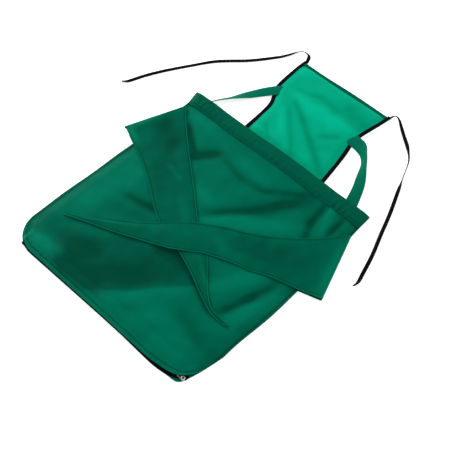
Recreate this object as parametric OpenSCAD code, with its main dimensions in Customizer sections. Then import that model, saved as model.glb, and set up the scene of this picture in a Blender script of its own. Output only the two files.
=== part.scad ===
// Bib apron with a full-width front pouch, lying flat with its front up.
// X runs along the mouth band, Y points to the neck and Z is up, in millimetres.
// The origin is on the surface the apron lies on, under the middle of its outline.

/* [Pouch] */
// Width of the pouch between its side seams
pouch_w = 600; // [480:10:720]
// Height of the pouch from its bottom edge to the top of the mouth band
pouch_h = 644; // [530:2:780]
// Depth of the stitched band along the pouch's mouth
band_h = 48; // [30:1:60]
// Free height between the front and back panels
pouch_gap = 7; // [6.5:0.1:9]
// Radius of the front panel's bottom corners
front_corner_r = 50; // [25:1:65]
// Radius of the back panel's bottom corners
back_corner_r = 46; // [15:1:55]

/* [Cloth] */
// Thickness of one sewn layer
cloth_t = 1.2; // [1:0.05:1.4]
// Thickness of the folded and stitched mouth band
band_t = 2.2; // [1.8:0.1:2.6]
// Width of a sewn thread row
thread_w = 0.6; // [0.4:0.1:1]

/* [Bib] */
// Width of the bib along its top hem
bib_w = 286; // [230:2:350]
// Height of the bib above the mouth band
bib_h = 280; // [230:2:340]
// Sideways place of the bib's centre line
bib_x = 14; // [-30:1:30]
// Depth of the bib's top hem
hem_h = 12; // [8:1:20]
// Width of the black binding on the bib's sides
binding_w = 10; // [8:1:14]
// Width of the side straps
strap_w = 32; // [24:1:40]

/* [Neck ties] */
// Width of the neck tape
tape_w = 10; // [8:1:14]
// Thickness of the neck tape
tape_t = 1.6; // [1.2:0.1:2]

/* [Zip] */
// Length of the zip slider's body
slider_l = 11; // [9:0.5:13]
// Height of the zip slider's body
slider_h = 6.4; // [5.6:0.1:6.8]
// Length of the puller from its pin to its end
puller_l = 16; // [12:1:24]
// Diameter of one coil row
coil_d = 1.2; // [1:0.05:1.3]

/* [Hidden] */

deep_green = [0.0, 0.43, 0.32];
shade_green = [0.0, 0.35, 0.26];
bright_green = [0.04, 0.66, 0.49];
black = [0.07, 0.07, 0.08];
silver = [0.72, 0.72, 0.70];

eps = 0.01;
thread_t = 0.3;

// Levels above the surface
front_under_z = cloth_t + pouch_gap;
front_top_z = front_under_z + cloth_t;
band_top_z = front_under_z + band_t;
tie_clear = 0.9;
left_tie_z = band_top_z + tie_clear;
right_tie_z = left_tie_z + cloth_t + tie_clear;
bib_z = cloth_t / 2;
bound_t = 2 * cloth_t;
strap_z = bound_t + 0.1;

// Lines across the apron
top_y = (pouch_h + bib_h) / 2;
bottom_y = -top_y;
band_y = top_y - bib_h;
band_low_y = band_y - band_h;
bib_low_y = band_y + 1;

// The zip runs along the bottom edge and climbs a little towards the slider's end
zip_left = [-(pouch_w / 2 - 38), bottom_y + 4];
zip_right = [pouch_w / 2 - 20, bottom_y + 16];
zip_dir = zip_right - zip_left;
zip_len = norm(zip_dir);
zip_turn = atan2(zip_dir[1], zip_dir[0]);
zip_z = front_top_z / 2;
zip_cloth_gap = 0.8;
tape_leg_t = 0.6;
tape_leg_w = 12;
coil_gap = 1.1;
stop_l = 2.5;
slider_rest = zip_len - stop_l - 1 - slider_l / 2;
slider_clear = 0.3;
plate_t = 1;
bridge_t = 0.6;
pin_r = 0.5;
pin_clear = 0.08;
pin_y = -(coil_d + tape_leg_t / 2 + slider_clear + plate_t + 1.2);

// Side of the bib as [share of its height, share of its half width]
bib_side = [[0, 0.92], [0.36, 0.90], [0.59, 0.95], [1, 1]];

// Centre lines of the side straps, from the bib's side to the mouth band, as
// [distance outside the bib's centre line, height above the mouth band]
left_strap = [[132, 150], [158, 118], [185, 74], [212, 34], [228, 2]];
right_strap = [[116, 152], [148, 146], [178, 126], [203, 88], [222, 46], [236, 2]];
strap_tack_w = 26;

// Waist tie outlines as [distance in from the side seam, distance below the band's top].
// The first and last points lie on the line where the tie folds back over the pouch.
fold_top_left = [-2, 58];
fold_low_left = [-38, 222];
left_tie = [
    fold_top_left, [60, 82], [96, 116], [197, 202], [317, 307], [403, 369], [430, 396],
    [492, 453], [563, 466],
    [559, 474], [520, 474], [460, 453], [342, 402], [225, 364], [139, 307], [19, 247],
    fold_low_left
];
fold_top_right = [-16, 86];
fold_low_right = [-74, 268];
right_tie = [
    fold_top_right, [0, 102], [24, 128], [64, 168], [108, 203], [152, 233], [234, 278],
    [318, 340], [413, 420],
    [495, 478], [546, 512],
    [546, 518], [507, 502], [403, 463], [307, 421], [210, 364], [152, 339], [54, 305],
    [-20, 284], fold_low_right
];
fold_clear = 0.4;

// Routes of the neck tapes from the bib's top corners, as points on the surface
tape_z = tape_t / 2 + 0.2;
neck_left = [
    [-132, 463], [-138, 481], [-147, 488], [-162, 488], [-174, 478], [-202, 432],
    [-254, 364], [-321, 297], [-364, 237], [-402, 177], [-429, 126], [-447, 86], [-461, 68]
];
neck_right = [
    [160, 463], [163, 472], [170, 476], [182, 471], [196, 460], [218, 442], [246, 419],
    [271, 393], [285, 371], [298, 336], [317, 286], [343, 218], [364, 154], [385, 92],
    [400, 34], [406, 10], [404, -6]
];
tape_steps = 3;
tape_sides = 8;

// ---- helpers ----

function reversed(list) = [for (i = [len(list) - 1 : -1 : 0]) list[i]];

function arc(centre, r, from, to, n = 12) =
    [for (i = [0 : n]) let (a = from + (to - from) * i / n)
        centre + r * [cos(a), sin(a)]];

// Pouch outline with rounded bottom corners, set in from the edge by `inset`
function pouch_outline(r, inset = 0, y_high = band_y) =
    let (x = pouch_w / 2 - inset, y = bottom_y + inset, rr = r - inset)
    concat(
        [[-x, y_high]],
        arc([-x + rr, y + rr], rr, 180, 270),
        arc([x - rr, y + rr], rr, 270, 360),
        [[x, y_high]]
    );

// One side of the bib (-1 left, 1 right), moved outwards by `out`
function bib_edge(side, out) =
    [for (p = bib_side)
        [bib_x + side * (p[1] * bib_w / 2 + out), bib_low_y + p[0] * (top_y - bib_low_y)]];

// Unit vector across a route at point i, and the strip outline along that route
function across(route, i) =
    let (a = route[max(i - 1, 0)], b = route[min(i + 1, len(route) - 1)], d = b - a)
    [-d[1], d[0]] / norm(d);
function strip(route, w) = concat(
    [for (i = [0 : len(route) - 1]) route[i] + across(route, i) * w / 2],
    [for (i = [len(route) - 1 : -1 : 0]) route[i] - across(route, i) * w / 2]
);

// Smooth curve through a route's points
function smooth_point(a, b, c, d, u) =
    0.5 * (2 * b + (c - a) * u + (2 * a - 5 * b + 4 * c - d) * u * u
        + (3 * b - a - 3 * c + d) * u * u * u);
function smooth_route(route, steps) = concat(
    [for (i = [0 : len(route) - 2], k = [0 : steps - 1])
        smooth_point(route[max(i - 1, 0)], route[i], route[i + 1],
            route[min(i + 2, len(route) - 1)], k / steps)],
    [route[len(route) - 1]]
);

// Flat tape swept along a route at height z
module swept_tape(route, w, t, z) {
    path = smooth_route(route, tape_steps);
    rings = len(path);
    n = tape_sides;
    points = [
        for (i = [0 : rings - 1], k = [0 : n - 1])
            let (side = across(path, i) * cos(360 * k / n) * w / 2)
            [path[i][0] + side[0], path[i][1] + side[1], z + sin(360 * k / n) * t / 2]
    ];
    walls = [
        for (i = [0 : rings - 2], k = [0 : n - 1])
            [i * n + k, i * n + (k + 1) % n, (i + 1) * n + (k + 1) % n, (i + 1) * n + k]
    ];
    first_end = [for (k = [n - 1 : -1 : 0]) k];
    last_end = [for (k = [0 : n - 1]) (rings - 1) * n + k];
    polyhedron(points, concat([first_end], walls, [last_end]));
}

module layer(outline, z, t) {
    translate([0, 0, z]) linear_extrude(t) polygon(outline);
}

module block(low, high) {
    translate(low) cube(high - low);
}

// Children in the zip's own frame: X along the zip from its left end, -Y outwards
module along_zip() {
    translate([zip_left[0], zip_left[1], 0]) rotate([0, 0, zip_turn]) children();
}

// ---- pouch ----

module back_panel() {
    color(shade_green) layer(pouch_outline(back_corner_r), 0, cloth_t);
}

// Shallow tray of cloth: open at the mouth and along the zip
module front_panel() {
    color(deep_green) difference() {
        layer(pouch_outline(front_corner_r, 0, band_low_y), cloth_t, front_top_z - cloth_t);
        layer(pouch_outline(front_corner_r, cloth_t, band_low_y + 1), cloth_t - 1, pouch_gap + 1);
        along_zip() block([0, -30, cloth_t - 1], [zip_len, zip_cloth_gap, front_top_z + 1]);
    }
}

// Folded band over the mouth, joined to the back panel at its ends
module mouth_band() {
    color(deep_green) difference() {
        block([-pouch_w / 2, band_low_y, cloth_t], [pouch_w / 2, band_y, band_top_z]);
        block([-pouch_w / 2 + band_t, band_low_y - 1, cloth_t - 1],
            [pouch_w / 2 - band_t, band_y + 1, front_under_z]);
    }
}

module thread_row(x0, x1, y, z) {
    block([x0, y - thread_w / 2, z], [x1, y + thread_w / 2, z + thread_t]);
}

module band_stitching() {
    color(shade_green)
        for (y = [band_low_y + 4, band_low_y + 10])
            thread_row(-pouch_w / 2 + 4, pouch_w / 2 - 4, y, band_top_z);
}

module side_stitching() {
    color(shade_green)
        for (side = [-1, 1])
            translate([side * (pouch_w / 2 - 5), 0, 0]) rotate([0, 0, 90])
                thread_row(bottom_y + front_corner_r + 10, band_low_y - 4, 0, front_top_z);
}

hem_w = 10;
hem_t = 0.8;
module bottom_hem() {
    color(deep_green) along_zip()
        block([6, zip_cloth_gap, front_top_z], [zip_len - 6, zip_cloth_gap + hem_w, front_top_z + hem_t]);
}

module hem_stitching() {
    color(shade_green) along_zip()
        thread_row(8, zip_len - 8, zip_cloth_gap + hem_w - 2, front_top_z + hem_t);
}

// Ends of the side straps, sewn to the back panel behind the band
module strap_tacks() {
    color(black)
        for (x = [bib_x - left_strap[len(left_strap) - 1][0],
                  bib_x + right_strap[len(right_strap) - 1][0]])
            block([x - strap_tack_w / 2, band_y - 9, cloth_t],
                [x + strap_tack_w / 2, band_y - 6, cloth_t + thread_t]);
}

// ---- zip ----

// Tape of one zip half: a flat leg sewn inside the hem and a lip that carries the coil
module zip_tape(flat_z, lip_low, lip_high) {
    color(black) along_zip() union() {
        block([0, -tape_leg_t / 2, lip_low], [zip_len, tape_leg_t / 2, lip_high]);
        block([0, tape_leg_t / 2 - eps, flat_z], [zip_len, tape_leg_w, flat_z + tape_leg_t]);
    }
}
module zip_tape_upper() {
    zip_tape(front_under_z - tape_leg_t, zip_z + coil_gap / 2, front_under_z);
}
module zip_tape_lower() {
    zip_tape(cloth_t, cloth_t, zip_z - coil_gap / 2);
}

module zip_coil(side) {
    color(black) along_zip()
        translate([stop_l, -tape_leg_t / 2 - coil_d / 2, zip_z + side * (coil_gap + coil_d) / 2])
            rotate([0, 90, 0]) cylinder(d = coil_d, h = zip_len - 2 * stop_l, $fn = 24);
}
module zip_coil_upper() {
    zip_coil(1);
}
module zip_coil_lower() {
    zip_coil(-1);
}

// One crimped stop at each end of the coils
module zip_end_stops() {
    stop_h = 2 * coil_d + coil_gap;
    color(silver) along_zip()
        for (x = [0, zip_len - stop_l])
            block([x, -tape_leg_t / 2 - coil_d, zip_z - stop_h / 2],
                [x + stop_l, -tape_leg_t / 2, zip_z + stop_h / 2]);
}

// Two plates joined by a bridge between the coils, with a pin for the puller
lug_l = 2.4;
lug_t = 1;
module zip_slider() {
    outer_y = -tape_leg_t / 2 - coil_d - slider_clear;
    inner_y = tape_leg_t / 2 + slider_clear;
    inner_h = slider_h - 1.6;
    lug_y = pin_y - pin_r - 0.4;
    color(silver) along_zip() translate([slider_rest, 0, zip_z]) union() {
        block([-slider_l / 2, outer_y - plate_t, -slider_h / 2], [slider_l / 2, outer_y, slider_h / 2]);
        block([-slider_l / 2, inner_y, -inner_h / 2], [slider_l / 2, inner_y + plate_t, inner_h / 2]);
        block([0, outer_y - eps, -bridge_t / 2], [slider_l / 2 - 1, inner_y + eps, bridge_t / 2]);
        for (side = [-1, 1])
            translate([0, 0, side * (slider_h / 2 - lug_t / 2)])
                block([-lug_l / 2, lug_y, -lug_t / 2], [lug_l / 2, outer_y - plate_t + eps, lug_t / 2]);
        translate([0, pin_y, -slider_h / 2 + lug_t / 2])
            cylinder(r = pin_r, h = slider_h - lug_t, $fn = 32);
    }
}

// Pull tab on the slider's pin, with a round eye at its end
puller_t = 1.6;
puller_w = 3.6;
eye_r = 3.6;
eye_hole_r = 1.6;
module zip_puller() {
    color(silver) along_zip() translate([slider_rest, pin_y, zip_z]) difference() {
        union() {
            translate([0, 0, -puller_w / 2]) cylinder(r = puller_t / 2 + 0.3, h = puller_w, $fn = 32);
            block([-puller_l + eye_r, -puller_t / 2, -puller_w / 2 + 0.6],
                [0, puller_t / 2, puller_w / 2 - 0.6]);
            translate([-puller_l + eye_r, puller_t / 2, 0]) rotate([90, 0, 0])
                cylinder(r = min(eye_r, slider_h / 2), h = puller_t, $fn = 40);
        }
        translate([0, 0, -puller_w]) cylinder(r = pin_r + pin_clear, h = 2 * puller_w, $fn = 32);
        translate([-puller_l + eye_r, puller_t, 0]) rotate([90, 0, 0])
            cylinder(r = eye_hole_r, h = 2 * puller_t, $fn = 32);
    }
}

// ---- bib ----

module bib_sheet() {
    outline = concat(bib_edge(-1, 0), reversed(bib_edge(1, 0)));
    intersection() {
        layer(outline, bib_z, cloth_t);
        block([-pouch_w, bib_low_y, 0], [pouch_w, top_y - cloth_t, 2 * bound_t]);
    }
}
module bib_panel() {
    color(bright_green) bib_sheet();
}

// The hem and the bindings are folded over the sheet's edges
binding_out = 0.3 * binding_w;
binding_in = binding_w - binding_out;
module bib_top_hem() {
    outline = concat(bib_edge(-1, -binding_in), reversed(bib_edge(1, -binding_in)));
    color(shade_green) difference() {
        intersection() {
            layer(outline, 0, bound_t);
            block([-pouch_w, top_y - hem_h, 0], [pouch_w, top_y, bound_t]);
        }
        bib_sheet();
    }
}

module bib_hem_stitching() {
    half = bib_w / 2 - binding_w;
    color(bright_green)
        for (y = [top_y - hem_h + 2, top_y - 3])
            thread_row(bib_x - half, bib_x + half, y, bound_t);
}

module bib_binding(side) {
    color(black) difference() {
        layer(concat(bib_edge(side, binding_out), reversed(bib_edge(side, -binding_in))), 0, bound_t);
        bib_sheet();
    }
}
module bib_binding_left() {
    bib_binding(-1);
}
module bib_binding_right() {
    bib_binding(1);
}

module side_strap(side, line) {
    route = [for (p = line) [bib_x + side * p[0], band_y + p[1]]];
    color(deep_green) layer(strip(route, strap_w), strap_z, cloth_t);
}
module strap_above_band(side, line) {
    intersection() {
        side_strap(side, line);
        block([-pouch_w, bib_low_y, 0], [pouch_w, top_y, 3 * bound_t]);
    }
}
module side_strap_left() {
    color(deep_green) strap_above_band(-1, left_strap);
}
module side_strap_right() {
    color(deep_green) strap_above_band(1, right_strap);
}

module neck_tie_left() {
    color(black) swept_tape(neck_left, tape_w, tape_t, tape_z);
}
module neck_tie_right() {
    color(black) swept_tape(neck_right, tape_w, tape_t, tape_z);
}

// ---- waist ties ----

// A point given from the side seam and the band's top, on the left (-1) or right (1)
function from_seam(side, p) = [side * (pouch_w / 2 - p[0]), band_y - p[1]];

// Part of the tie between its seam and its fold line, lying beside the back panel
module tie_root(side, fold_top, fold_low) {
    seam_top = [0, fold_top[1]];
    seam_low = [0, fold_low[1] + 22];
    outline = [for (p = [seam_top, fold_top, fold_low, seam_low]) from_seam(side, p)];
    color(shade_green) layer(outline, 0, cloth_t);
}
module tie_root_left() {
    tie_root(-1, fold_top_left, fold_low_left);
}
module tie_root_right() {
    tie_root(1, fold_top_right, fold_low_right);
}

// Part of the tie beyond its fold, lying across the pouch's front
module waist_tie(side, outline, z) {
    color(deep_green)
        layer([for (p = outline) from_seam(side, p + [fold_clear, 0])], z, cloth_t);
}
module waist_tie_left() {
    waist_tie(-1, left_tie, left_tie_z);
}
module waist_tie_right() {
    waist_tie(1, right_tie, right_tie_z);
}

back_panel();
front_panel();
mouth_band();
band_stitching();
side_stitching();
bottom_hem();
hem_stitching();
tie_root_left();
tie_root_right();
strap_tacks();
zip_tape_upper();
zip_tape_lower();
zip_coil_upper();
zip_coil_lower();
zip_end_stops();
zip_slider();
zip_puller();
bib_panel();
bib_top_hem();
bib_hem_stitching();
bib_binding_left();
bib_binding_right();
side_strap_left();
side_strap_right();
neck_tie_left();
neck_tie_right();
waist_tie_left();
waist_tie_right();
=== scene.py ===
"""Bib apron of thin coated cloth with a zipped front pouch, lying flat with its front up.

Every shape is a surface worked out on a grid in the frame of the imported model: X along the
mouth band, Y towards the neck, Z up, in metres.
"""
import math

import bpy
import numpy as np
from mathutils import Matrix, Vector


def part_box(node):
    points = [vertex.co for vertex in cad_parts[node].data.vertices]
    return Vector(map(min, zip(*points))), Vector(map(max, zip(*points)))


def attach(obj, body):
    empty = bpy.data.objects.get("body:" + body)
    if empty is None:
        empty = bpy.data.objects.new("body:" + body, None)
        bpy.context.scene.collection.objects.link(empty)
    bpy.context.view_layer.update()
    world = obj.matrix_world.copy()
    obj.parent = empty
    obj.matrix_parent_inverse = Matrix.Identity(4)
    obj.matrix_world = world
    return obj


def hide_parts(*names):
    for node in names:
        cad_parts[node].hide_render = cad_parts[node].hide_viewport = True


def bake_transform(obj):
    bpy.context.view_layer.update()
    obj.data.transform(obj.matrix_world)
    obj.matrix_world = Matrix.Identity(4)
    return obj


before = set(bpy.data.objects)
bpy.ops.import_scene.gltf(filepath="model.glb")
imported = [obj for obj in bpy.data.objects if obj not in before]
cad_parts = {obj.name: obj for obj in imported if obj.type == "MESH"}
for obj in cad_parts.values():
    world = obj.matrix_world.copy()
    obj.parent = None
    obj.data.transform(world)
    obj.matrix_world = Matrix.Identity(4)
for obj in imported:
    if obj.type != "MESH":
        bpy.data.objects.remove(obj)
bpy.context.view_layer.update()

MM = 0.001


def corners(node):
    """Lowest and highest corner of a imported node, as arrays in metres."""
    low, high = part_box(node)
    return np.array(low), np.array(high)


POUCH_LOW, POUCH_HIGH = corners("back_panel")
BAND_LOW, BAND_HIGH = corners("mouth_band")
BIB_LOW, BIB_HIGH = corners("bib_panel")
HEM_LOW, HEM_HIGH = corners("bib_top_hem")
ZIP_LOW, ZIP_HIGH = corners("zip_tape_upper")

HALF_W = POUCH_HIGH[0]
BOTTOM_Y = POUCH_LOW[1]
BAND_Y = BAND_HIGH[1]
BAND_SEAM_Y = BAND_LOW[1]
TOP_Y = HEM_HIGH[1]
BIB_X = (BIB_LOW[0] + BIB_HIGH[0]) / 2
BIB_HALF = (BIB_HIGH[0] - BIB_LOW[0]) / 2
ZIP_TOP = corners("front_panel")[1][2]
TAPE_WIDTH = 10 * MM
BINDING_WIDTH = 10 * MM
CLOTH = 0.7 * MM


# ---- curves ----

def soft(t):
    """Smooth step from 0 to 1: 3 t^2 - 2 t^3, held at its ends."""
    t = np.clip(t, 0.0, 1.0)
    return t * t * (3 - 2 * t)


def smooth_route(points, steps):
    """Catmull-Rom curve through the points, with that many steps from each to the next."""
    p = np.asarray(points, float)
    padded = np.vstack([p[:1], p, p[-1:]])
    a, b, c, d = padded[:-3], padded[1:-2], padded[2:-1], padded[3:]
    u = np.linspace(0, 1, steps, endpoint=False)[None, :, None]
    a, b, c, d = (q[:, None, :] for q in (a, b, c, d))
    curve = 0.5 * (2 * b + (c - a) * u + (2 * a - 5 * b + 4 * c - d) * u ** 2
                   + (3 * b - a - 3 * c + d) * u ** 3)
    return np.vstack([curve.reshape(-1, p.shape[1]), p[-1:]])


def run_length(path):
    """Distance along a path at each of its points."""
    return np.concatenate([[0], np.cumsum(np.linalg.norm(np.diff(path, axis=0), axis=1))])


def evenly(path, count):
    """The path with that many points at equal distances."""
    s = run_length(path)
    at = np.linspace(0, s[-1], count)
    return np.stack([np.interp(at, s, path[:, k]) for k in range(path.shape[1])], axis=1)


def directions(path):
    """Unit tangent at each point of a path."""
    t = np.gradient(path, axis=0)
    return t / np.linalg.norm(t, axis=1, keepdims=True)


# ---- folds in cloth ----

def fold(x, y, start, end, width, height):
    """Soft fold: height times a bell across the line from start to end, fading towards and past its ends.

    The bell is exp(-(aside / width)^2); along the line the fade is exp(-1.2 (from middle / (half run + width))^4).
    """
    (ax, ay), (bx, by) = start, end
    run = math.hypot(bx - ax, by - ay)
    dx, dy = (bx - ax) / run, (by - ay) / run
    px, py = x / MM - ax, y / MM - ay
    along = px * dx + py * dy
    aside = px * dy - py * dx
    from_middle = np.abs(along - run / 2) / (run / 2 + width)
    return height * MM * np.exp(-(aside / width) ** 2 - 1.2 * from_middle ** 4)


def folds(x, y, rows, wider=1.0):
    """Sum of the folds in a list, each made wider by a factor."""
    return sum(fold(x, y, start, end, width * wider, height) for start, end, width, height in rows)


def shade(x, y, chain, sharp, wide):
    """Darkness 0..1 beside a chain of [x, y] points in millimetres: sharp on its right, wide on its left."""
    total = np.zeros_like(x)
    for start, end in zip(np.array(chain[:-1]) * MM, np.array(chain[1:]) * MM):
        length = np.linalg.norm(end - start)
        step = (end - start) / length
        along = (x - start[0]) * step[0] + (y - start[1]) * step[1]
        across = (y - start[1]) * step[0] - (x - start[0]) * step[1]
        past = along - np.clip(along, 0, length)
        width = np.where(across > 0, wide, sharp) * MM
        total = np.maximum(total, np.exp(-(across / width) ** 2 - (past / (30 * MM)) ** 2))
    return total


def crumple(x, y, length, height, seed):
    """Gentle unevenness: seven plane waves of about that length in seeded directions, in millimetres."""
    draw = np.random.RandomState(seed)
    total = np.zeros_like(x)
    for turn, phase, stretch in draw.rand(7, 3):
        k = 2 * math.pi / (length * MM * (0.6 + 0.9 * stretch))
        total = total + np.sin(k * (x * math.cos(6.28 * turn) + y * math.sin(6.28 * turn)) + 6.28 * phase)
    return total * height * MM / 7 ** 0.5


# ---- meshes ----

def add_mesh(name, vertices, faces):
    """Object from an array of points and a list of faces, shaded smooth."""
    mesh = bpy.data.meshes.new(name)
    mesh.from_pydata(np.asarray(vertices, float).tolist(), [], faces)
    mesh.polygons.foreach_set("use_smooth", [True] * len(mesh.polygons))
    mesh.update()
    piece = bpy.data.objects.new(name, mesh)
    bpy.context.scene.collection.objects.link(piece)
    return piece


def grid_faces(rows, columns, ring=False, first=0):
    """Quads between neighbouring points of a grid; a ring also joins the last column to the first."""
    i, j = np.meshgrid(np.arange(rows - 1), np.arange(columns if ring else columns - 1), indexing="ij")
    k = (j + 1) % columns
    quads = np.stack([i * columns + j, (i + 1) * columns + j, (i + 1) * columns + k, i * columns + k], axis=-1)
    return (quads.reshape(-1, 4) + first).tolist()


def cloth(name, grid, thickness=CLOTH):
    """Sheet through a grid of points, given its thickness by Solidify."""
    rows, columns = grid.shape[:2]
    piece = add_mesh(name, grid.reshape(-1, 3), grid_faces(rows, columns))
    wall = piece.modifiers.new("thickness", "SOLIDIFY")
    wall.thickness = thickness
    wall.offset = 0
    return piece


def ribbon(name, path, width, thickness, roll=0.0, painted_shading_and_tone=None):
    """Flat tape swept along a path: a rounded strip turned by roll about its own line.

    Each ring is an 8-point flat section across the path; roll is in degrees, one value or one a point.
    """
    path = np.array(path, float)
    n = len(path)
    roll = np.radians(np.broadcast_to(roll, n))
    width = np.broadcast_to(width, n)
    t = directions(path)
    flat = np.stack([-t[:, 1], t[:, 0], np.zeros(n)], axis=1)
    flat /= np.linalg.norm(flat, axis=1, keepdims=True)
    up = np.cross(t, flat)
    side = flat * np.cos(roll)[:, None] + up * np.sin(roll)[:, None]
    normal = np.cross(t, side)
    a = np.array([1, 0.86, 0, -0.86, -1, -0.86, 0, 0.86])
    b = np.array([0, 1, 1, 1, 0, -1, -1, -1]) * thickness / 2
    ring = (path[:, None, :] + side[:, None, :] * (a[None, :, None] * width[:, None, None] / 2)
            + normal[:, None, :] * b[None, :, None])
    faces = grid_faces(n, 8, ring=True)
    faces += [list(range(7, -1, -1)), [(n - 1) * 8 + k for k in range(8)]]
    piece = add_mesh(name, ring.reshape(-1, 3), faces)
    recalculated(piece)
    return piece


def recalculated(piece):
    """Turns a closed piece's faces outwards."""
    import bmesh
    work = bmesh.new()
    work.from_mesh(piece.data)
    bmesh.ops.recalc_face_normals(work, faces=work.faces)
    work.to_mesh(piece.data)
    work.free()
    return piece


def stitches(name, rows, pitch=3.4 * MM, share=0.68, radius=0.28 * MM):
    """Rows of thread: along each path, a six-sided capsule for each stitch.

    A capsule has four rings whose radii are 0.3, 1, 1 and 0.3 of the thread's.
    """
    ring = np.linspace(0, 2 * math.pi, 6, endpoint=False)
    along = np.array([-0.5, -0.36, 0.36, 0.5]) * pitch * share
    thin = np.array([0.35, 1, 1, 0.35]) * radius
    vertices, faces = [], []
    for path in rows:
        path = evenly(np.asarray(path, float), max(int(run_length(path)[-1] / pitch), 3))
        t = directions(path)
        side = np.cross([0, 0, 1.0], t)
        side /= np.linalg.norm(side, axis=1, keepdims=True)
        up = np.cross(t, side)
        centre = path[:, None, None, :] + t[:, None, None, :] * along[None, :, None, None]
        out = (side[:, None, None, :] * np.cos(ring)[None, None, :, None]
               + up[:, None, None, :] * np.sin(ring)[None, None, :, None])
        capsule = centre + out * thin[None, :, None, None]
        for one in capsule.reshape(len(path), 24, 3):
            first = len(vertices)
            vertices.extend(one.tolist())
            faces += grid_faces(4, 6, ring=True, first=first)
            faces += [[first + k for k in range(5, -1, -1)], [first + 18 + k for k in range(6)]]
    piece = add_mesh(name, vertices, faces)
    return piece


# ---- camera and neck tapes come first ----

AZIMUTH = 42.7
ELEVATION = 57.1


def add_camera():
    data = bpy.data.cameras.new("camera")
    data.sensor_width = 36
    data.lens = 73.4
    camera = bpy.data.objects.new("camera", data)
    camera.location = (0.897, -0.986, 1.899)
    camera.rotation_euler = (math.radians(90 - ELEVATION), 0, math.radians(AZIMUTH))
    bpy.context.scene.collection.objects.link(camera)
    bpy.context.scene.camera = camera


add_camera()

NECK_LEFT = np.array([
    [-132, 463], [-138, 481], [-147, 488], [-162, 488], [-174, 478], [-202, 432],
    [-254, 364], [-321, 297], [-364, 237], [-402, 177], [-429, 126], [-447, 86], [-461, 68],
]) * MM
NECK_RIGHT = np.array([
    [160, 463], [163, 472], [170, 476], [182, 471], [196, 460], [218, 442], [246, 419],
    [271, 393], [285, 371], [298, 336], [317, 286], [343, 218], [364, 154], [385, 92],
    [400, 34], [406, 10], [404, -6],
]) * MM


def neck_tape(name, route, turns, lifts):
    """Neck tape along its route: it leaves the binding flat, stands on its edge where it turns.

    turns are [distance along the tape in mm, roll in degrees]; lifts are its height above the surface.
    """
    flat = evenly(smooth_route(route, 8), 120)
    s = run_length(flat) / MM
    roll = np.interp(s, *np.array(turns, float).T)
    kernel = np.hanning(9) / np.hanning(9).sum()
    roll = np.convolve(np.pad(roll, 4, mode="edge"), kernel, "valid")
    rise = np.interp(s, *np.array(lifts, float).T) * MM
    z = 0.6 * MM + np.abs(np.sin(np.radians(roll))) * TAPE_WIDTH / 2 + rise
    path = np.column_stack([flat, z])
    piece = ribbon(name, path, TAPE_WIDTH, 0.9 * MM, roll)
    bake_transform(piece)
    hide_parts(name)
    return piece, path


neck_left, neck_left_path = neck_tape(
    "neck_tie_left", NECK_LEFT,
    [[0, 0], [14, 16], [26, 34], [60, 38], [86, 12], [130, -5], [300, -10], [340, 0], [470, -8], [545, -10], [572, 50]],
    [[0, 2.2], [20, 4], [60, 2], [110, 0], [250, 1.5], [400, 0], [500, 1], [575, 0]])
neck_right, neck_right_path = neck_tape(
    "neck_tie_right", NECK_RIGHT,
    [[0, -30], [10, -36], [32, -36], [48, -16], [62, 0], [90, 0], [120, 30], [140, 72], [236, 76], [258, 20],
     [330, -6], [470, -8], [540, 0], [570, 50], [590, 70]],
    [[0, 2.2], [30, 4], [60, 2], [110, 1], [300, 0], [420, 1], [520, 0], [590, 0]])

# ---- finishes ----

def group(name, inputs, outputs):
    """Empty shader node group with named float inputs {name: default} and float or vector outputs."""
    tree = bpy.data.node_groups.new(name, "ShaderNodeTree")
    for label, value in inputs.items():
        socket = tree.interface.new_socket(label, in_out="INPUT", socket_type="NodeSocketFloat")
        socket.default_value = value
    for label in outputs:
        tree.interface.new_socket(label, in_out="OUTPUT", socket_type="NodeSocketFloat")
    return tree, tree.nodes.new("NodeGroupInput"), tree.nodes.new("NodeGroupOutput")


def math_node(tree, operation, *values):
    """Math node whose inputs are numbers or sockets; gives its output socket."""
    node = tree.nodes.new("ShaderNodeMath")
    node.operation = operation
    for k, value in enumerate(values):
        if isinstance(value, (int, float)):
            node.inputs[k].default_value = value
        else:
            tree.links.new(value, node.inputs[k])
    return node.outputs[0]


def noise(tree, vector, scale, detail=3.0, rough=0.5):
    node = tree.nodes.new("ShaderNodeTexNoise")
    node.inputs["Scale"].default_value = scale
    node.inputs["Detail"].default_value = detail
    node.inputs["Roughness"].default_value = rough
    tree.links.new(vector, node.inputs["Vector"])
    return node.outputs["Fac"]


def weave_group():
    """Plain weave: the product of two sine waves, one across each thread direction."""
    tree, given, out = group("weave", {"Threads per metre": 1200.0}, ["Height"])
    place = tree.nodes.new("ShaderNodeTexCoord").outputs["Object"]
    parts = tree.nodes.new("ShaderNodeSeparateXYZ")
    tree.links.new(place, parts.inputs[0])
    turns = math_node(tree, "MULTIPLY", given.outputs[0], math.pi)
    across = math_node(tree, "SINE", math_node(tree, "MULTIPLY", parts.outputs["X"], turns))
    along = math_node(tree, "SINE", math_node(tree, "MULTIPLY", parts.outputs["Y"], turns))
    product = math_node(tree, "MULTIPLY", across, along)
    tree.links.new(math_node(tree, "MULTIPLY_ADD", product, 0.5, 0.5), out.inputs["Height"])
    return tree


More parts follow.
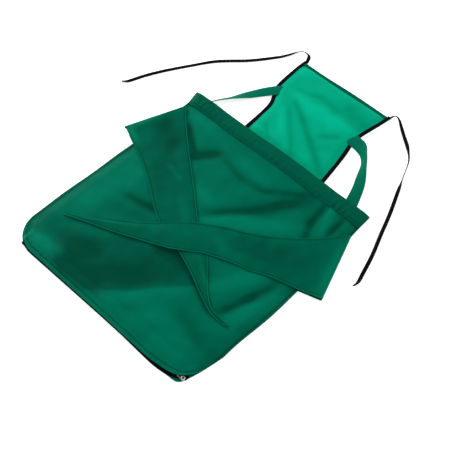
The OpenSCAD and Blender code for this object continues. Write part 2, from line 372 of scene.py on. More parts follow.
def handling_group():
    """Marks of handling: fine creases, the lines where two noises cross their middle, and slow drift."""
    tree, given, out = group("handling", {"Crease scale": 14.0}, ["Creases", "Drift", "Fine"])
    place = tree.nodes.new("ShaderNodeTexCoord").outputs["Object"]
    broad = tree.nodes.new("ShaderNodeTexNoise")
    broad.inputs["Detail"].default_value = 5
    broad.inputs["Roughness"].default_value = 0.55
    broad.inputs["Distortion"].default_value = 0.6
    tree.links.new(place, broad.inputs["Vector"])
    tree.links.new(given.outputs[0], broad.inputs["Scale"])
    ridge = math_node(tree, "ABSOLUTE", math_node(tree, "SUBTRACT", broad.outputs["Fac"], 0.5))
    sharp = math_node(tree, "POWER", math_node(tree, "SUBTRACT", 1.0, math_node(tree, "MULTIPLY", ridge, 4.0)), 3.0)
    tree.links.new(math_node(tree, "MAXIMUM", sharp, 0.0), out.inputs["Creases"])
    tree.links.new(noise(tree, place, 4.0, 2.0), out.inputs["Drift"])
    tree.links.new(noise(tree, place, 90.0, 2.0), out.inputs["Fine"])
    return tree


WEAVE = weave_group()
HANDLING = handling_group()


def place_group(tree, source, **values):
    node = tree.nodes.new("ShaderNodeGroup")
    node.node_tree = source
    for label, value in values.items():
        node.inputs[label.replace("_", " ")].default_value = value
    return node


def mix_colours(tree, share, first, second):
    node = tree.nodes.new("ShaderNodeMix")
    node.data_type = "RGBA"
    node.inputs[6].default_value = (*first, 1)
    node.inputs[7].default_value = (*second, 1)
    tree.links.new(share, node.inputs[0])
    return node.outputs[2]


def bump(tree, height, distance, below=None):
    node = tree.nodes.new("ShaderNodeBump")
    node.inputs["Strength"].default_value = 1
    node.inputs["Distance"].default_value = distance
    tree.links.new(height, node.inputs["Height"])
    if below is not None:
        tree.links.new(below, node.inputs["Normal"])
    return node.outputs["Normal"]


def spread(tree, value, low, high):
    """The value from 0 to 1 spread between two numbers."""
    return math_node(tree, "MULTIPLY_ADD", value, high - low, low)


def finish_of(name, light, dark, rough, threads, weave_depth, crease_depth, sheen=0.0,
              crease_scale=14.0, metallic=0.0, with_painted_shading=False):
    """Cloth or metal: two tones that drift into each other, a weave, creases, and uneven gloss.

    A finish with painted shading mixes its two tones by the piece's stored painted light and shade, plus a little
    drift.
    """
    material = bpy.data.materials.new(name)
    material.use_nodes = True
    tree = material.node_tree
    shader = tree.nodes["Principled BSDF"]
    handled = place_group(tree, HANDLING, Crease_scale=crease_scale)
    woven = place_group(tree, WEAVE, Threads_per_metre=threads)
    drift = math_node(tree, "ADD", math_node(tree, "MULTIPLY", handled.outputs["Drift"], 0.75),
                      math_node(tree, "MULTIPLY", handled.outputs["Fine"], 0.25))
    if with_painted_shading:
        # Painted shading: the stored painted light and shade, with a little drift, sets how far the colour goes to the
        # dark tone.
        painted_shading_and_tone = tree.nodes.new("ShaderNodeAttribute")
        painted_shading_and_tone.attribute_name = "painted_shading_and_tone"
        varied = math_node(tree, "MULTIPLY_ADD", drift, 0.4, -0.2)
        steep = math_node(tree, "SUBTRACT", math_node(tree, "SUBTRACT", 1.0, painted_shading_and_tone.outputs["Fac"]), varied)
    else:
        steep = math_node(tree, "MULTIPLY_ADD", drift, 2.2, -0.6)
    steep.node.use_clamp = True
    tree.links.new(mix_colours(tree, steep, light, dark), shader.inputs["Base Color"])
    gloss = math_node(tree, "ADD", math_node(tree, "MULTIPLY", handled.outputs["Fine"], 0.6),
                      math_node(tree, "MULTIPLY", handled.outputs["Creases"], 0.4))
    tree.links.new(spread(tree, gloss, rough - 0.06, rough + 0.09), shader.inputs["Roughness"])
    creased = bump(tree, handled.outputs["Creases"], crease_depth)
    tree.links.new(bump(tree, woven.outputs["Height"], weave_depth, creased), shader.inputs["Normal"])
    shader.inputs["Metallic"].default_value = metallic
    shader.inputs["Sheen Weight"].default_value = sheen
    shader.inputs["IOR"].default_value = 1.4 if not metallic else 1.5
    shader.inputs["Sheen Roughness"].default_value = 0.4
    if not metallic:
        tint = np.array(light) / max(light)
        shader.inputs["Specular IOR Level"].default_value = 0.03
        shader.inputs["Specular Tint"].default_value = (*(0.85 * tint + 0.02), 1)
        shader.inputs["Sheen Tint"].default_value = (*tint, 1)
    return material


def srgb(r, g, b):
    """Linear colour of an 8-bit sRGB colour."""
    return tuple(((c / 255 + 0.055) / 1.055) ** 2.4 if c > 10 else c / 255 / 12.92 for c in (r, g, b))


# Front, tie and bib cloth take painted shading: their dark tone is painted shade, their light tone painted light.
FRONT_GREEN = finish_of("coated_green", srgb(0, 116, 90), srgb(0, 71, 53), 0.5, 1100, 0.00003, 0.00012, 0.0,
                        with_painted_shading=True)
TIE_GREEN = finish_of("doubled_green", srgb(0, 116, 88), srgb(0, 70, 52), 0.5, 1100, 0.00003, 0.00012, 0.0,
                      with_painted_shading=True)
BAND_GREEN = finish_of("band_green", srgb(0, 95, 71), srgb(0, 80, 60), 0.55, 900, 0.00006, 0.0005)
STRAP_GREEN = finish_of("strap_green", srgb(0, 112, 85), srgb(0, 96, 72), 0.5, 1100, 0.00004, 0.0002)
BIB_GREEN = finish_of("bib_green", srgb(2, 176, 137), srgb(0, 138, 104), 0.5, 1100, 0.00003, 0.00012, 0.0,
                      with_painted_shading=True)
HEM_GREEN = finish_of("hem_green", srgb(0, 96, 72), srgb(0, 82, 61), 0.5, 1100, 0.00005, 0.0002)
THREAD_GREEN = finish_of("thread_green", srgb(0, 84, 62), srgb(0, 72, 53), 0.6, 3000, 0.00004, 0.0001)
BLACK_TAPE = finish_of("black_tape", srgb(20, 20, 23), srgb(12, 12, 15), 0.75, 1700, 0.00012, 0.0002)
BLACK_COIL = finish_of("black_coil", srgb(34, 34, 37), srgb(24, 24, 27), 0.38, 2500, 0.00002, 0.0001)
ZIP_METAL = finish_of("zip_metal", srgb(206, 204, 198), srgb(176, 173, 168), 0.3, 2500, 0.00001, 0.0001,
                      metallic=1.0, crease_scale=160.0)


def store_painted_shading(piece, values):
    """Stores painted light and shade on each point, from 0 to 1; the finishes are painted lighter where it is high."""
    layer = piece.data.attributes.new("painted_shading_and_tone", "FLOAT", "POINT")
    layer.data.foreach_set("value", np.clip(values, 0, 1).astype(np.float32).ravel())


def dress(piece, material, body, slot, *nodes):
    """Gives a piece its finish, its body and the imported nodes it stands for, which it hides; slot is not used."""
    piece.data.materials.clear()
    piece.data.materials.append(material)
    if body:
        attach(piece, body)
    if nodes:
        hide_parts(*nodes)
    return piece


for tape in (neck_left, neck_right):
    tape.data.materials.append(BLACK_TAPE)


# ---- pouch ----

# Sides of the laid-out pouch as [height along Y, place along X], in millimetres
LEFT_SIDE = np.array([[-480, -304], [-396, -304], [-302, -299], [-231, -295], [-138, -289], [-62, -283],
                      [45, -277], [134, -273], [200, -272]], float)
RIGHT_SIDE = np.array([[-480, 303], [-344, 303], [-231, 311], [-103, 317], [0, 318], [121, 315], [200, 312]], float)
# Lower edges as [place along X, height along Y], in millimetres: the front panel's hem, the back
# panel's right corner, and the outer edge of the zip's tape
HEM_EDGE = np.array([[-310, -458], [-262, -459], [-200, -461], [0, -462.5], [150, -464.5], [183, -464.5],
                     [206, -462], [229, -459], [250, -454], [262, -448], [270, -441.5], [277, -433],
                     [284, -420], [292, -400], [298, -372], [303, -346]])
BACK_CORNER_EDGE = np.array([[150, -480], [200, -469.5], [237, -464.6], [256, -463.5], [266, -461], [273, -455],
                             [278, -446], [281, -437], [286, -422], [292, -400], [298, -372], [303, -346]])
TAPE_EDGE = np.array([[-240, -461.5], [-100, -463.4], [22, -464], [100, -465.2], [150, -467.4], [190, -468.8],
                      [214, -467.8], [237, -464.6], [255, -458.5], [268, -450], [276, -445]])
LOW_LEFT_RADIUS = 78 * MM


def side_at(points, y):
    """Place along X of an edge at height y, on a smooth curve through its [y, x] points."""
    curve = smooth_route(points, 10) * MM
    return np.interp(y, curve[:, 0], curve[:, 1])


def rounded_left(x, low):
    """Lower edge with its left corner rounded to LOW_LEFT_RADIUS."""
    over = np.clip(-304 * MM + LOW_LEFT_RADIUS - x, 0, LOW_LEFT_RADIUS)
    return low + LOW_LEFT_RADIUS - np.sqrt(LOW_LEFT_RADIUS ** 2 - over ** 2)


def zip_line(x):
    """Height along Y of the zip at x: a straight line that climbs towards the slider."""
    share = (x - ZIP_LOW[0]) / (ZIP_HIGH[0] - ZIP_LOW[0])
    return BOTTOM_Y + 4 * MM + 12 * MM * share


# Folds as (start, end, half width, height), in millimetres; a valley's height is negative
FRONT_FOLDS = [
    ((-242, -384), (-143, -359), 30, -2.4), ((-132, -369), (30, -242), 34, -2.4), ((-104, -426), (36, -315), 18, -2.4),
    ((-136, -433), (-47, -425), 12, -2.5), ((-6, -438), (118, -280), 16, 2.2), ((-245, -426), (-180, -412), 12, 5.5),
    ((-174, -188), (-79, -166), 9, -5.0), ((-181, -240), (-83, -197), 18, -2.0), ((-218, 82), (-138, 21), 7, -6.0),
    ((-133, 16), (-96, 64), 11, -6.5), ((-68, 59), (1, 45), 7, -2.2), ((1, 45), (74, 54), 8, -2.5),
    ((74, 54), (163, 127), 8, -3.2), ((7, -95), (92, -4), 10, -5.0), ((92, -4), (175, 117), 15, -5.0),
    ((212, 123), (217, 63), 8, -5.0), ((217, 63), (234, 16), 8, -4.5), ((271, 121), (271, 66), 7, -5.5),
    ((232, 133), (255, 59), 7, 3.5), ((266, -136), (249, -195), 9, -4.5), ((249, -195), (223, -269), 9, -4.8),
    ((256, -274), (300, -150), 16, 2.8), ((159, -231), (219, -147), 16, 2.5), ((144, -328), (231, -359), 14, -2.0),
    ((231, -359), (288, -360), 14, -1.6), ((50, -224), (131, -253), 5, -5.0), ((131, -253), (203, -288), 6, -5.5),
    ((-1, -244), (81, -232), 10, -5.0), ((19, -108), (192, 12), 15, 3.4), ((-39, 85), (44, 76), 16, 2.2),
    ((-50, -53), (-4, -64), 12, 2.2), ((-238, 114), (-149, 109), 12, 2.0), ((-243, -280), (-221, -100), 30, 2.0),
    ((99, -377), (212, -410), 34, 1.8),
]


# Lower border of the painted shade on the slope between the left corner and the crossed ties, in millimetres
PAINTED_SHADE_EDGE = [(-185, -420), (-150, -440), (-47, -434), (26, -366), (130, -249)]


def front_height(x, y):
    """Height of the front panel's cloth: low at the seams, held up by the zip, folded between.

    edge is the height along the bottom edge: the zip's, falling to the seam's at both corners.
    """
    inset = np.clip(np.minimum(x - side_at(LEFT_SIDE, y), side_at(RIGHT_SIDE, y) - x), 0, None)
    from_low = np.clip(y - front_bottom(x), 0, None)
    from_zip = np.clip(y - np.maximum(zip_line(x), front_bottom(x)), 0, None)
    on_zip = soft((x + 276 * MM) / (14 * MM)) * soft((290 * MM - x) / (14 * MM))
    edge = 7.6 * MM * on_zip
    inner = edge + (4.3 * MM - edge) * soft((from_zip - 16 * MM) / (26 * MM))
    rise = soft(inset / (34 * MM))
    loose = soft(inset / (26 * MM)) * soft((from_zip - 6 * MM) / (30 * MM)) * soft((BAND_SEAM_Y + 2 * MM - y) / (16 * MM))
    moved = 0.5 * folds(x, y, FRONT_FOLDS, 1.7) + crumple(x, y, 90, 0.7, 3) + crumple(x, y, 34, 0.1, 5)
    hemmed = 0.5 * MM * np.exp(-((from_low - 9.5 * MM) / (1.6 * MM)) ** 2) * on_zip
    puckers = crumple(x, y, 13, 0.35, 14) * np.exp(-((from_low - 13 * MM) / (9 * MM)) ** 2) * rise
    return np.maximum(2.3 * MM + inner * rise + moved * loose + puckers - hemmed, 2.2 * MM)


def pouch_sheet(name, bottom, top, height, columns=196, rows=190):
    """Sheet between the pouch's bottom edge and its top, with closer columns at its sides.

    Each column starts on the bottom edge and leans with the nearer side as it goes up.
    """
    u = np.linspace(-1, 1, columns)[None, :]
    v = np.linspace(0, 1, rows)[:, None] ** 1.5
    start = -0.5 * MM + 303.5 * MM * np.sin(u * math.pi / 2) + 0 * v
    low = bottom(start)
    y = low + (top - low) * v
    left = (side_at(LEFT_SIDE, y) + 304 * MM) * (0.5 - 0.5 * u) ** 1.4
    right = (side_at(RIGHT_SIDE, y) - 303 * MM) * (0.5 + 0.5 * u) ** 1.4
    wave = 1.2 * MM * np.sin(y * 31 + 1.2) * np.abs(u) ** 6
    x = start + (left + right + wave) * soft((y - BOTTOM_Y - 40 * MM) / (60 * MM))
    piece = cloth(name, np.stack([x, y, height(x, y)], axis=-1))
    inset = np.minimum(x - side_at(LEFT_SIDE, y), side_at(RIGHT_SIDE, y) - x)
    # Painted shading: lighter on fold ridges, darker in fold valleys, painted shade on the slope near the left corner,
    # darker near the sides, dark lines beside the side and hem stitching, a lighter strip along the bottom edge, and
    # random tone.
    store_painted_shading(piece, 0.66 + folds(x, y, FRONT_FOLDS, 1.35) / (7.5 * MM) + crumple(x, y, 60, 0.5, 8) / (9 * MM)
            - 0.5 * shade(x, y, PAINTED_SHADE_EDGE, 7, 85) - 0.25 * np.exp(-(inset / (24 * MM)) ** 2)
            - 0.45 * np.exp(-((inset - 6 * MM) / (2.5 * MM)) ** 2)
            - 0.45 * np.exp(-((y - low - 10.5 * MM) / (1.8 * MM)) ** 2)
            + 0.3 * np.exp(-((y - low - 2 * MM) / (2.5 * MM)) ** 2))
    return piece


def front_bottom(x):
    return rounded_left(x, side_at(HEM_EDGE, x))


def back_bottom(x):
    """Bottom edge of the back panel: almost straight, bulging a little before the slider."""
    bulge = 4.8 * MM * np.exp(-((x - 190 * MM) / (50 * MM)) ** 2)
    return np.maximum(rounded_left(x, BOTTOM_Y - 1.2 * MM - bulge), side_at(BACK_CORNER_EDGE, x))


def back_height(x, y):
    return 0.6 * MM + 0.25 * MM * (1 + np.sin(x * 40) * np.sin(y * 33))


front_panel = pouch_sheet("front_panel", front_bottom, BAND_SEAM_Y + 16 * MM, front_height)
dress(front_panel, FRONT_GREEN, "pouch", "cloth", "front_panel", "bottom_hem")
back_panel = pouch_sheet("back_panel", back_bottom, BAND_Y - 6 * MM, back_height, 110, 90)
dress(back_panel, FRONT_GREEN, "pouch", "cloth", "back_panel")


# ---- mouth band ----

def mouth_band():
    """Folded band: a flattened tube profile carried along X, gathered by its stitching.

    The profile runs from the stitched seam over the crown to the mouth and back under.
    """
    profile = np.array([[-1.5, 7.6], [0, 8.6], [3, 9.5], [5.5, 8.9], [9, 10.2], [18, 11.2], [30, 11.4], [40, 10.9],
                        [46, 9.9], [48, 8.6], [47, 7.6], [40, 7.0], [24, 6.8], [12, 6.9], [4, 7.2]]) * MM
    profile = smooth_route(profile, 3)
    share = np.linspace(0, 1, 420)[:, None]
    y = BAND_SEAM_Y + profile[None, :, 0] * 0.93 + 0 * share
    left = -272 * MM - 8 * MM * (y - BAND_SEAM_Y) / (40 * MM)
    right = 314 * MM - 2 * MM * (y - BAND_SEAM_Y) / (40 * MM)
    x = left + (right - left) * share
    z = profile[None, :, 1] + 0 * x
    near_seam = np.exp(-((y - BAND_SEAM_Y - 4 * MM) / (20 * MM)) ** 2)
    tight = 0.45 + 1.1 * np.exp(-((x - 0.235) / 0.05) ** 2) + 0.8 * np.exp(-((x + 0.24) / 0.04) ** 2)
    gathers = crumple(x * 3.2, y * 0.7, 50, 0.55, 11)
    z = z + gathers * tight * (0.35 + near_seam) + crumple(x, y, 120, 0.5, 12)
    ends = soft(np.minimum(x - left, right - x) / (16 * MM))
    z = 2.6 * MM + (z - 2.6 * MM) * (0.35 + 0.65 * ends)
    y = y - 5 * MM * soft((x - 60 * MM) / (250 * MM)) + 1.0 * MM * np.sin(x * 23 + 0.6)
    y = y + gathers * 0.8 * near_seam * tight
    grid = np.stack([x, y, z], axis=-1)
    return cloth("mouth_band", grid, 0.6 * MM), grid


band, band_grid = mouth_band()
dress(band, BAND_GREEN, "pouch", "cloth", "mouth_band")


# ---- bib ----

# Left and right edge of the bib as [height along Y, place along X], in millimetres
BIB_LEFT = np.array([[160, -106], [186, -105], [246, -106], [286, -110], [312, -121], [345, -136],
                     [423, -139], [462, -137]], float)
BIB_RIGHT = np.array([[160, 161], [186, 159], [236, 153], [286, 146], [330, 137], [364, 139],
                      [400, 146], [462, 158]], float)
BIB_FOLDS = [
    ((-62, 305), (13, 226), 6, -2.2), ((13, 226), (49, 180), 6, -2.2), ((-63, 332), (-11, 301), 6, -2.6),
    ((-11, 301), (51, 258), 7, -3.0), ((51, 258), (144, 190), 8, -3.6), ((-85, 366), (-17, 390), 6, -1.8),
    ((-17, 390), (60, 380), 8, -2.2), ((59, 407), (128, 388), 17, -2.8), ((65, 286), (101, 317), 6, -2.6),
    ((-71, 222), (-36, 191), 5, -1.8), ((93, 256), (124, 280), 12, -1.0), ((-69, 289), (-17, 217), 10, 2.4),
    ((-75, 355), (1, 339), 10, 2.6), ((1, 339), (68, 345), 16, 2.6), ((68, 345), (123, 356), 9, 2.2),
    ((-110, 426), (-89, 435), 10, 1.4), ((-83, 197), (-61, 195), 6, 1.4),
]


def edge_at(edge, y):
    """Place along X of a bib edge at height y, on a smooth curve through its points."""
    curve = smooth_route(edge, 10) * MM
    return np.interp(y, curve[:, 0], curve[:, 1])


def bib_height(x, y):
    """Height of the bib's cloth: flat at its bound edges, with folds that spread from the left strap."""
    inset = np.minimum(x - edge_at(BIB_LEFT, y), edge_at(BIB_RIGHT, y) - x)
    loose = soft(inset / (28 * MM)) * soft((y - BAND_Y) / (20 * MM)) * soft((TOP_Y - 4 * MM - y) / (24 * MM))
    body = 4.4 * MM + 0.5 * folds(x, y, BIB_FOLDS, 1.7) + crumple(x, y, 80, 0.5, 21)
    return 1.5 * MM + np.maximum(body, 0.3 * MM) * loose


def bib_sheet():
    """Sheet between the bib's two edge curves, from behind the mouth band to the top hem."""
    y = np.linspace(BAND_Y - 20 * MM, TOP_Y - 1 * MM, 120)[:, None]
    u = np.linspace(0, 1, 110)[None, :]
    left, right = edge_at(BIB_LEFT, y), edge_at(BIB_RIGHT, y)
    x = left + (right - left) * u
    y = y + 0 * u
    piece = cloth("bib_panel", np.stack([x, y, bib_height(x, y)], axis=-1), 0.6 * MM)
    # Painted shading: lighter on fold ridges and darker in fold valleys, with random tone.
    store_painted_shading(piece, 0.6 + folds(x, y, BIB_FOLDS, 1.5) / (6 * MM) + crumple(x, y, 50, 0.3, 9) / (6 * MM))
    return piece


def across_mouth(piece):
    """Bakes a piece's placement into its mesh."""
    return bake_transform(piece)


bib = bib_sheet()
dress(bib, BIB_GREEN, None, "bib_cloth", "bib_panel")
across_mouth(bib)


def bib_binding(name, edge, inwards):
    """Black binding folded over a side of the bib: a rounded strip along the edge curve."""
    y = np.linspace(BAND_Y - 14 * MM, TOP_Y + 3 * MM, 90)
    x = edge_at(edge, y) + inwards * 2.0 * MM
    z = 1.9 * MM + 0.3 * MM * np.sin(y * 70)
    piece = ribbon(name, np.column_stack([x, y, z]), BINDING_WIDTH * 1.2, 2.6 * MM, inwards * 6.0)
    dress(piece, BLACK_TAPE, None, "black_tape", name)
    return across_mouth(piece)


bib_binding("bib_binding_left", BIB_LEFT, 1)
bib_binding("bib_binding_right", BIB_RIGHT, -1)


def top_hem():
    """Folded hem along the bib's top: a rounded strip that follows the cloth."""
    x = np.linspace(edge_at(BIB_LEFT, TOP_Y) + 4 * MM, edge_at(BIB_RIGHT, TOP_Y) - 4 * MM, 120)
    y = TOP_Y - 6 * MM + 0.8 * MM * np.sin(x * 26)
    z = 2.0 * MM + 0.4 * MM * np.sin(x * 31 + 1)
    path = np.column_stack([x, y, z])
    piece = ribbon("bib_top_hem", path, 12 * MM, 2.0 * MM)
    dress(piece, HEM_GREEN, "bib", "bib_cloth", "bib_top_hem")
    rows = [path + [0, offset, 1.05 * MM] for offset in (-4.2 * MM, 3.6 * MM)]
    thread = stitches("bib_hem_stitching", rows)
    dress(thread, STRAP_GREEN, "bib", "thread", "bib_hem_stitching")


top_hem()


def side_strap(name, route, widths, turns, lifts):
    """Side strap from the bib's edge to behind the mouth band, turning and narrowing along its way."""
    flat = evenly(smooth_route(np.array(route, float) * MM, 10), 80)
    s = run_length(flat) / MM
    roll = np.interp(s, *np.array(turns, float).T)
    width = np.interp(s, *np.array(widths, float).T) * MM
    kernel = np.hanning(13) / np.hanning(13).sum()
    roll, width = (np.convolve(np.pad(q, 6, mode="edge"), kernel, "valid") for q in (roll, width))
    rise = np.interp(s, *np.array(lifts, float).T) * MM
    z = 0.8 * MM + np.abs(np.sin(np.radians(roll))) * width / 2 + rise
    piece = ribbon(name, np.column_stack([flat, z]), width, 0.9 * MM, roll)
    dress(piece, STRAP_GREEN, None, "cloth", name)
    across_mouth(piece)
    return piece


side_strap("side_strap_left",
           [(-108, 345), (-126, 330), (-150, 300), (-172, 264), (-192, 232), (-212, 204), (-226, 182), (-234, 166)],
           [[0, 34], [60, 32], [110, 30], [160, 20], [215, 16]],
           [[0, 0], [60, 4], [100, 12], [150, 34], [215, 42]], [[0, 3.0], [30, 3.0], [70, 1], [215, 1.5]])
side_strap("side_strap_right",
           [(126, 340), (140, 335), (158, 331), (180, 317), (200, 295), (217, 265), (237, 226), (252, 182), (257, 166)],
           [[0, 40], [30, 36], [70, 24], [110, 25], [150, 30], [220, 34]],
           [[0, 0], [30, 8], [62, 50], [95, 56], [140, 24], [220, 6]], [[0, 3.0], [30, 3.0], [60, 1], [220, 1.5]])


# ---- waist ties ----

TIE_BOTTOM = 0.9 * MM
TIE_FOLD_TOP = 11.8 * MM
FOLD_R = (TIE_FOLD_TOP - TIE_BOTTOM) / 2

LEFT_LOWER = [(-337, -40), (-283, -63), (-231, -84), (-161, -124), (-75, -182), (42, -221), (100, -243),
              (160, -271), (210, -290), (257, -291)]
LEFT_UPPER = [(-269, 117), (-246, 98), (-196, 53), (-150, 13), (-110, -20), (-55, -66), (12, -124), (60, -152),
              (103, -187), (126, -211), (164, -250), (192, -272), (218, -281), (261, -284)]
RIGHT_LOWER = [(374, -86), (318, -103), (245, -123), (199, -143), (147, -157), (89, -182), (38, -216), (-8, -239),
               (-104, -281), (-155, -300), (-208, -320), (-247, -336)]
RIGHT_UPPER = [(316, 96), (300, 80), (276, 54), (236, 14), (192, -22), (150, -51), (106, -75), (65, -96),
               (19, -127), (-19, -158), (-73, -208), (-114, -238), (-196, -297), (-248, -331)]
LEFT_TIE_FOLDS = [
    ((-326, -22), (-298, 50), 12, 3.0), ((-320, -38), (-276, -52), 10, 2.8), ((-281, 37), (-205, 16), 34, -1.3),
    ((-160, -50), (-105, -66), 6, 1.2), ((-250, 40), (-120, -120), 30, -0.6), ((-60, -110), (60, -190), 14, 1.0),
    ((95, -205), (190, -268), 5, 1.6),
]
RIGHT_TIE_FOLDS = [
    ((318, 66), (362, -78), 13, 2.8), ((152, -90), (277, -51), 34, -0.9), ((60, -130), (158, -150), 16, 0.9),
    ((40, -160), (-120, -250), 14, 0.8), ((-120, -258), (-240, -330), 4, 1.4), ((150, -110), (250, -90), 12, -0.5),
]


def crossing(x, y):
    """1 where the right tie lies over the left tie, fading to 0 around it."""
    (ax, ay), (bx, by) = (-90, -105), (100, -228)
    run = math.hypot(bx - ax, by - ay)
    dx, dy = (bx - ax) / run, (by - ay) / run
    px, py = x / MM - ax, y / MM - ay
    half = 58 - 22 * soft((px * dx + py * dy) / run)
    return soft((half + 12 - np.abs(px * dy - py * dx)) / 22)


def tie_grid(lower, upper, tie_folds, seam_low, raised, rows=190, columns=46):
    """Whole waist tie: from its seam, round the fold, then across the front to its tip.

    The part across the front is ruled between two edge curves; the fold is a half circle about the fold
    line, and the part under it is ruled from the seam to the fold.
    """
    v = (0.5 - 0.5 * np.cos(np.linspace(0, math.pi, columns)))[None, :, None]
    low = evenly(smooth_route(np.array(lower, float) * MM, 8), rows)[:, None, :]
    high = evenly(smooth_route(np.array(upper, float) * MM, 8), rows)[:, None, :]
    flat = low + (high - low) * v
    u = np.linspace(0, 1, rows)[:, None]
    fold_line = flat[0]
    d = fold_line[-1] - fold_line[0]
    side = math.copysign(1, fold_line[0, 0])
    out = side * np.array([abs(d[1]), -d[0] * math.copysign(1, d[1]) * side]) / np.linalg.norm(d)
    out = out if out[0] * side > 0 else -out
    flat = flat - out * FOLD_R * (1 - soft(u / 0.07))[:, :, None]
    x, y = flat[..., 0], flat[..., 1]
    width = np.linalg.norm(high - low, axis=2)
    from_edge = np.minimum(v[..., 0], 1 - v[..., 0]) * width
    crown = 1.2 * MM * soft(from_edge / (22 * MM)) + 0.5 * MM * np.exp(-(from_edge / (2.2 * MM)) ** 2)
    rested = np.maximum(front_height(x, y) + 2.0 * MM, 9.4 * MM) + crown
    rested = rested + folds(x, y, tie_folds) * soft(from_edge / (12 * MM)) + crumple(x, y, 70, 0.25, 31)
    rested = np.maximum(rested, 9.2 * MM) + raised * crossing(x, y) * MM
    z = rested + (TIE_FOLD_TOP - rested) * (1 - soft(u / 0.09))
    strip = np.stack([x, y, z], axis=-1)
    turn = np.linspace(-90, 90, 13)[:-1, None]
    centre = fold_line - out * FOLD_R
    bent = centre[None] + out * (FOLD_R * np.cos(np.radians(turn)))[..., None]
    bent_z = (TIE_BOTTOM + FOLD_R + FOLD_R * np.sin(np.radians(turn))) * np.ones((1, columns))
    bent = np.concatenate([bent, bent_z[..., None]], axis=-1)
    seam_y = np.interp(v[0, :, 0], [0, 1], [seam_low * MM, upper[0][1] * MM])
    inside = np.interp(v[0, :, 0], [0, 1], [3 * MM, 14 * MM])
    seam = np.column_stack([side_at(RIGHT_SIDE if side > 0 else LEFT_SIDE, seam_y) - side * inside, seam_y])
    t = np.linspace(0, 1, 10)[:-1, None, None]
    under = seam[None] + (centre[None] - seam[None]) * t
    under = np.concatenate([under, np.full(under.shape[:2] + (1,), TIE_BOTTOM)], axis=-1)
    # Painted shading: a painted highlight along each edge, a dark line just inside the stitching, lighter on fold
    # ridges and darker in fold valleys, random tone; the part under the fold is drawn darker and the rounded fold
    # painted lighter.
    edge_highlight_and_line = 2.0 * np.exp(-((from_edge - 1.4 * MM) / (1.3 * MM)) ** 2)
    edge_highlight_and_line = edge_highlight_and_line - 2.2 * np.exp(-((from_edge - 4.6 * MM) / (1.3 * MM)) ** 2)
    painted_shading_and_tone = 0.38 + (folds(x, y, tie_folds) / MM + edge_highlight_and_line) / 5 + crumple(x, y, 50, 0.3, 9) / (6 * MM)
    painted_shading_and_tone = np.concatenate([np.full(under.shape[:2], 0.4), np.full(bent.shape[:2], 0.75), painted_shading_and_tone])
    return np.concatenate([under, bent, strip]), strip, from_edge, painted_shading_and_tone


def waist_tie(name, root, body, lower, upper, tie_folds, seam_low, raised):
    grid, strip, from_edge, painted_shading_and_tone = tie_grid(lower, upper, tie_folds, seam_low, raised)
    piece = cloth(name, grid, 1.2 * MM)
    store_painted_shading(piece, painted_shading_and_tone)
    dress(piece, TIE_GREEN, None, "cloth", name, root)
    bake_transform(piece)
    width = np.linalg.norm(strip[:, -1] - strip[:, 0], axis=1)
    inset = 4 * MM
    rows = []
    for low, high in ((strip[:, 0], strip[:, -1]), (strip[:, -1], strip[:, 0])):
        share = np.clip(inset / np.maximum(width, 1e-6), 0, 0.4)[:, None]
        line = low + (high - low) * share
        line[:, 2] = np.array([np.interp(inset, from_edge[k, :23], strip[k, :23, 2]) for k in range(len(low))])
        rows.append((line + [0, 0, 0.75 * MM])[6:-3])
    thread = stitches(name + "_stitching", rows)
    dress(thread, THREAD_GREEN, body, "thread")
    return strip


left_strip = waist_tie("waist_tie_left", "tie_root_left", "left_tie", LEFT_LOWER, LEFT_UPPER, LEFT_TIE_FOLDS, -62, 0.0)
right_strip = waist_tie("waist_tie_right", "tie_root_right", "right_tie", RIGHT_LOWER, RIGHT_UPPER, RIGHT_TIE_FOLDS,
                        -104, 3.4)


# ---- stitching on the pouch ----

def on_front(x, y, above=0.45 * MM):
    return np.column_stack([x, y, front_height(x, y) + above])


def pouch_stitching():
    seam_rows = []
    for offset in (3.2 * MM, 9 * MM):
        column = int(np.argmin(np.abs(band_grid[0, :24, 1] - BAND_SEAM_Y - offset)))
        seam_rows.append(band_grid[::2, column] + [0, 0, 0.5 * MM])
    dress(stitches("band_stitching", seam_rows), THREAD_GREEN, "pouch", "thread", "band_stitching")
    inset = 7 * MM
    y = np.linspace(BOTTOM_Y + 90 * MM, BAND_SEAM_Y - 4 * MM, 200)
    sides = [on_front(side_at(LEFT_SIDE, y) + inset, y), on_front(side_at(RIGHT_SIDE, y) - inset, y)]
    dress(stitches("side_stitching", sides), THREAD_GREEN, "pouch", "thread", "side_stitching")
    x = np.linspace(-HALF_W + 46 * MM, HALF_W - 38 * MM, 200)
    hem = [on_front(x, front_bottom(x) + offset) for offset in (3.0 * MM, 9.5 * MM)]
    dress(stitches("hem_stitching", hem), THREAD_GREEN, "pouch", "thread", "hem_stitching")


pouch_stitching()


# ---- zip ----

def repaint(node, material):
    """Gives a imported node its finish."""
    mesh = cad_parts[node].data
    mesh.materials.clear()
    mesh.materials.append(material)


for node in ("zip_tape_upper", "zip_tape_lower", "strap_tacks"):
    repaint(node, BLACK_TAPE)
for node in ("zip_coil_upper", "zip_coil_lower"):
    repaint(node, BLACK_COIL)
for node in ("zip_end_stops", "zip_slider", "zip_puller"):
    repaint(node, ZIP_METAL)


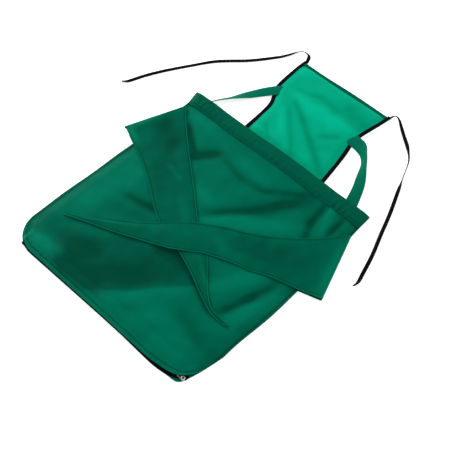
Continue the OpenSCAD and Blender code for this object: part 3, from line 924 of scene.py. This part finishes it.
def ring(name, centre, facing, radius, wire):
    """Round metal ring: a torus whose axis points along facing, 40 by 14 faces."""
    axis = np.array(facing, float) / np.linalg.norm(facing)
    first = np.cross(axis, (1, 0, 0))
    first /= np.linalg.norm(first)
    second = np.cross(axis, first)
    u = np.linspace(0, 2 * math.pi, 40, endpoint=False)[:, None, None]
    v = np.linspace(0, 2 * math.pi, 14, endpoint=False)[None, :, None]
    outward = first * np.cos(u) + second * np.sin(u)
    points = np.array(centre) + outward * (radius + wire * np.cos(v)) + axis * wire * np.sin(v)
    faces = [[i * 14 + j, (i + 1) % 40 * 14 + j, (i + 1) % 40 * 14 + (j + 1) % 14, i * 14 + (j + 1) % 14]
             for i in range(40) for j in range(14)]
    return recalculated(add_mesh(name, points.reshape(-1, 3), faces))


def zip_margin():
    """Outer margin of the zip's tape, sewn along the bottom edge in front of the back panel."""
    x = np.linspace(-238 * MM, 275 * MM, 240)[None, :]
    v = np.linspace(0, 1, 8)[:, None]
    low = side_at(TAPE_EDGE, x)
    y = low + (zip_line(x) + 1 * MM - low) * v
    z = 1.9 * MM + 0.8 * MM * v + 0.15 * MM * np.sin(x * 90)
    piece = cloth("zip_margin", np.stack([x + 0 * y, y, z], axis=-1), 0.5 * MM)
    dress(piece, BLACK_TAPE, "pouch", "black_tape")


zip_margin()


def slider_bridge():
    """Rounded bridge that carries the puller, in front of the slider's plates."""
    low, high = (np.array(corner) for corner in corners("zip_slider"))
    middle = (low + high) / 2
    piece = ring("slider_bridge", (middle[0] + 2 * MM, middle[1] + 1 * MM, 6.8 * MM), (0, -0.05, 1),
                 3.9 * MM, 1.6 * MM)
    dress(piece, ZIP_METAL, "slider", "zip_metal")


slider_bridge()


# ---- floor and light ----

def add_floor():
    bpy.ops.mesh.primitive_plane_add(size=12, location=(0, 0, -0.0004))
    floor = bpy.context.object
    floor.name = "floor"
    material = bpy.data.materials.new("floor")
    material.use_nodes = True
    shader = material.node_tree.nodes["Principled BSDF"]
    shader.inputs["Base Color"].default_value = (0.93, 0.93, 0.93, 1)
    shader.inputs["Roughness"].default_value = 0.9
    shader.inputs["Emission Color"].default_value = (1, 1, 1, 1)
    shader.inputs["Emission Strength"].default_value = 0.6
    floor.data.materials.append(material)


def add_light(name, place, size, power, target=(0, 0, 0)):
    data = bpy.data.lights.new(name, "AREA")
    data.size = size
    data.energy = power
    light = bpy.data.objects.new(name, data)
    light.location = place
    light.rotation_euler = (Vector(target) - Vector(place)).to_track_quat("-Z", "Y").to_euler()
    bpy.context.scene.collection.objects.link(light)


def add_light_tent():
    """Soft light from a white tent: brightest near the floor, dim overhead, with a panel on each side."""
    world = bpy.data.worlds.new("tent")
    world.use_nodes = True
    tree = world.node_tree
    parts = tree.nodes.new("ShaderNodeSeparateXYZ")
    tree.links.new(tree.nodes.new("ShaderNodeTexCoord").outputs["Generated"], parts.inputs[0])
    height = math_node(tree, "MAXIMUM", parts.outputs["Z"], 0.0)
    strength = math_node(tree, "MULTIPLY_ADD", math_node(tree, "POWER", height, 0.7), -0.8, 1.2)
    background = tree.nodes["Background"]
    background.inputs["Color"].default_value = (1, 1, 1, 1)
    tree.links.new(strength, background.inputs["Strength"])
    bpy.context.scene.world = world
    add_light("left_panel", (-2.2, 0.35, 0.95), 1.2, 50)
    add_light("right_panel", (1.6, 1.9, 0.75), 1.3, 22)


add_floor()
add_light_tent()
bpy.context.scene.view_settings.view_transform = "Standard"
